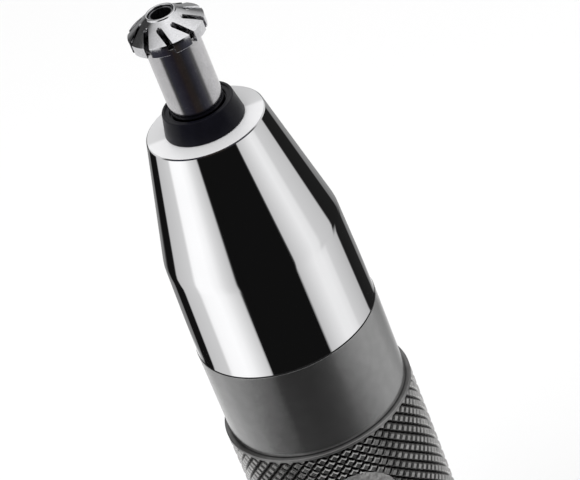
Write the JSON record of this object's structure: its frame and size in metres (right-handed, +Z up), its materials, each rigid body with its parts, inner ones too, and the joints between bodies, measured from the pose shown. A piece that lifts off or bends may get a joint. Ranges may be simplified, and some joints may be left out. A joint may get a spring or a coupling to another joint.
{
  "type": "nose hair trimmer",
  "caption": "Rotary nose hair trimmer with a knurled metal grip, polished tapered nose, pull-off slotted cutting head, thumb slide switch and screw-on battery cap.",
  "frame": {"origin": "centre of the end cap's flat base, on the trimmer's axis", "axes": "+Z up the trimmer's axis towards the cutting head; -Y is the front, where the thumb switch is; +X to the right seen from the front"},
  "size_m": [0.023, 0.0236, 0.1309],
  "materials": {
    "nose_chrome": "mirror polish",
    "band_paint": "satin",
    "grip_metal": "satin, knurled",
    "head_steel": "polished",
    "tube_steel": "fine satin",
    "collar_plastic": "satin moulded",
    "seal_rubber": "matte",
    "blade_steel": "ground",
    "bushing_bronze": "sintered",
    "knob_plastic": "satin moulded",
    "slide_plastic": "moulded",
    "frame_plastic": "moulded",
    "board_laminate": "satin",
    "switch_plastic": "moulded",
    "contact_brass": "bright",
    "spring_steel": "drawn wire",
    "cell_wrap": "printed film, plain",
    "cell_steel": "bright",
    "motor_steel": "plated",
    "motor_plastic": "moulded",
    "magnet_ferrite": "sintered",
    "copper": "enamelled",
    "brush_carbon": "matte",
    "coupling_plastic": "moulded",
    "lead_red": "insulation",
    "lead_black": "insulation"
  },
  "bodies": {
    "handle": {"grip_sleeve": "grip_metal", "front_band": "band_paint", "nose_gasket": "seal_rubber", "nose_cone": "nose_chrome", "head_socket": "frame_plastic", "battery_tube": "frame_plastic", "battery_cell": "cell_wrap", "cell_terminal": "cell_steel", "positive_contact": "contact_brass", "switch_frame": "frame_plastic", "switch_board": "board_laminate", "switch_body": "switch_plastic", "switch_pins": "contact_brass", "ground_clip": "contact_brass", "switched_lead": "lead_red", "ground_lead": "lead_black", "motor_terminals": "contact_brass", "motor_can": "motor_steel", "motor_bearing": "bushing_bronze", "motor_end_bell": "motor_plastic", "motor_magnets": "magnet_ferrite", "motor_brushes": "brush_carbon", "cradle_front": "frame_plastic", "cradle_rear": "frame_plastic", "cradle_screws": "motor_steel"},
    "switch": {"switch_knob": "knob_plastic", "switch_carrier": "slide_plastic", "switch_lever": "slide_plastic"},
    "motor_rotor": {"motor_shaft": "motor_steel", "armature_core": "magnet_ferrite", "armature_windings": "copper", "commutator": "copper", "drive_coupling": "coupling_plastic", "coupling_spring": "spring_steel"},
    "cutting_head": {"head_collar": "collar_plastic", "collar_seal_ring": "seal_rubber", "neck_tube": "tube_steel", "lower_bushing": "bushing_bronze", "upper_bushing": "bushing_bronze", "guard_cap": "head_steel"},
    "cutter": {"cutter_blades": "blade_steel", "cutter_shaft": "blade_steel", "shaft_clip": "blade_steel"},
    "cap_contact": {"contact_plate": "contact_brass", "negative_spring": "spring_steel"},
    "end_cap": {"end_cap": "band_paint", "cap_seal_ring": "seal_rubber"}
  },
  "joints": [
    {"name": "switch_slide", "type": "slide", "parent": "handle", "child": "switch", "axis": [0, 0, 1], "range_m": [0, 0.0025]},
    {"name": "motor_spin", "type": "hinge", "parent": "handle", "child": "motor_rotor", "pos_m": [0, 0, 0.09], "axis": [0, 0, 1], "continuous": true},
    {"name": "head_pull", "type": "slide", "parent": "handle", "child": "cutting_head", "axis": [0, 0, 1], "range_m": [0, 0.03]},
    {"name": "cutter_spin", "type": "hinge", "parent": "cutting_head", "child": "cutter", "pos_m": [0, 0, 0.12], "axis": [0, 0, 1], "continuous": true},
    {"name": "cap_travel", "type": "slide", "parent": "handle", "child": "cap_contact", "axis": [0, 0, -1], "range_m": [0, 0.00826]},
    {"name": "cap_turn", "type": "hinge", "parent": "cap_contact", "child": "end_cap", "pos_m": [0, 0, 0.005], "axis": [0, 0, -1], "range_deg": [0, 1980]}
  ],
  "couplings": [
    {"joint": "cutter_spin", "follows": "motor_spin", "ratio": 1},
    {"joint": "cap_travel", "follows": "cap_turn", "m_per_rad": 0.00023873}
  ]
}
